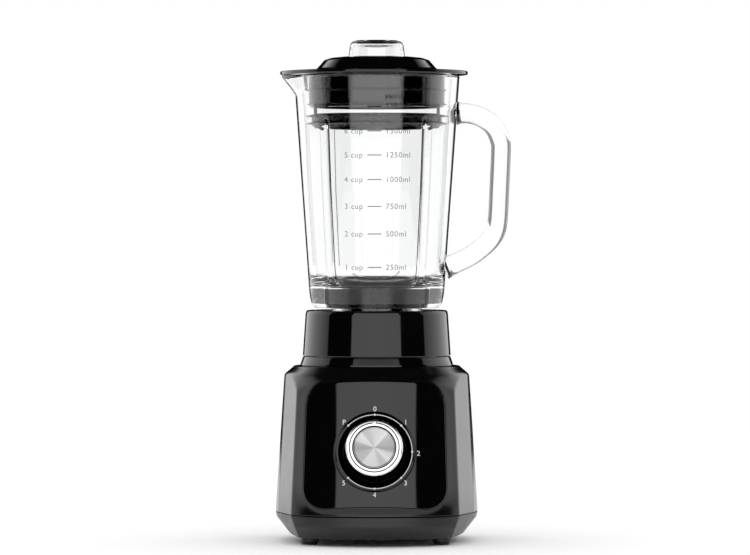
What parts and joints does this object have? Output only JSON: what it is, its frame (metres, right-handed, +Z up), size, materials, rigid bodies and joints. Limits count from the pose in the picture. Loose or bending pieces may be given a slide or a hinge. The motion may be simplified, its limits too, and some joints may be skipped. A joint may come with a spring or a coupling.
{
  "type": "countertop blender",
  "caption": "Countertop blender: clear glass jug with handle and spout, black lid with clear measuring cap, screwed to a collar with blades, on a black motor base with a rotary speed knob.",
  "frame": {"origin": "centre of the bounding box in plan, at the underside of the feet", "axes": "+Z up along the drive axis, -Y towards the user and the speed knob, +X towards the jug's handle, -X towards its spout"},
  "size_m": [0.1988, 0.2088, 0.4228],
  "materials": {
    "gloss_black": "polished black ABS",
    "satin_black": "satin black moulding",
    "nylon": "dark moulded nylon",
    "jug_glass": "clear soda-lime glass",
    "clear_plastic": "clear polished styrene-acrylonitrile",
    "rubber": "matte black",
    "silicone": "dark grey silicone",
    "chrome": "polished",
    "spun_aluminium": "spun, fine turning marks",
    "cast_aluminium": "as cast",
    "steel": "ground",
    "lamination": "stacked sheet",
    "copper": "enamelled copper wire and copper bars",
    "brass": "machined",
    "carbon": "pressed graphite",
    "board": "green laminate"
  },
  "bodies": {
    "base": {"motor_housing": "satin_black", "front_panel": "gloss_black", "bottom_tray": "satin_black", "jug_seat": "gloss_black", "cord_gland": "rubber", "dial_bezel": "gloss_black", "rotary_switch": "nylon", "stator_core": "lamination", "field_coil_left": "copper", "field_coil_right": "copper", "upper_motor_bracket": "cast_aluminium", "lower_motor_bracket": "cast_aluminium", "upper_bearing": "steel", "lower_bearing": "steel", "motor_bolt_left": "steel", "motor_bolt_right": "steel", "motor_mount_left": "rubber", "motor_mount_right": "rubber", "carbon_brush_front": "carbon", "carbon_brush_rear": "carbon", "brush_holder_front": "brass", "brush_holder_rear": "brass", "circuit_board": "board", "interlock_switch": "nylon", "foot_front_left": "rubber", "tray_screw_front_left": "steel", "foot_front_right": "rubber", "tray_screw_front_right": "steel", "foot_rear_left": "rubber", "tray_screw_rear_left": "steel", "foot_rear_right": "rubber", "tray_screw_rear_right": "steel"},
    "rotor": {"motor_shaft": "steel", "armature_core": "lamination", "armature_winding_lower": "copper", "armature_winding_upper": "copper", "commutator": "copper", "cooling_fan": "nylon", "drive_coupler": "nylon"},
    "knob": {"switch_shaft": "nylon", "knob_body": "gloss_black", "knob_ring": "chrome", "knob_disc": "spun_aluminium"},
    "interlock": {"interlock_pin": "nylon"},
    "collar": {"jug_collar": "gloss_black", "blade_carrier": "satin_black", "blade_gasket": "silicone", "blade_bush": "brass"},
    "blades": {"blade_shaft": "steel", "driven_coupler": "nylon", "blade_wings_lower": "steel", "blade_wings_upper": "steel", "blade_nut": "steel"},
    "jug": {"glass_jug": "jug_glass"},
    "lid": {"lid_cover": "gloss_black", "lid_plug": "gloss_black", "lid_seal": "silicone"},
    "cap": {"measuring_cap": "clear_plastic"}
  },
  "joints": [
    {"name": "motor_spin", "type": "hinge", "parent": "base", "child": "rotor", "pos_m": [-0.01407, 0.01101, 0.09], "axis": [0, 0, 1], "continuous": true},
    {"name": "knob_turn", "type": "hinge", "parent": "base", "child": "knob", "pos_m": [-0.01407, -0.07877, 0.0788], "axis": [0, 0.9744, -0.225], "range_deg": [-45, 225]},
    {"name": "interlock_press", "type": "slide", "parent": "base", "child": "interlock", "axis": [0, 0, 1], "range_m": [-0.003, 0], "stiffness_N_per_m": 300},
    {"name": "jug_lift", "type": "slide", "parent": "base", "child": "collar", "axis": [0, 0, 1], "range_m": [0, 0.12]},
    {"name": "blade_spin", "type": "hinge", "parent": "collar", "child": "blades", "pos_m": [-0.01407, 0.01101, 0.186], "axis": [0, 0, 1], "continuous": true},
    {"name": "jug_twist", "type": "hinge", "parent": "collar", "child": "jug", "pos_m": [-0.01407, 0.01101, 0.191], "axis": [0, 0, 1], "range_deg": [0, 45]},
    {"name": "lid_lift", "type": "slide", "parent": "jug", "child": "lid", "axis": [0, 0, 1], "range_m": [0, 0.08]},
    {"name": "cap_lift", "type": "slide", "parent": "lid", "child": "cap", "axis": [0, 0, 1], "range_m": [0, 0.06]}
  ],
  "couplings": [
    {"joint": "blade_spin", "follows": "motor_spin", "ratio": 1}
  ]
}
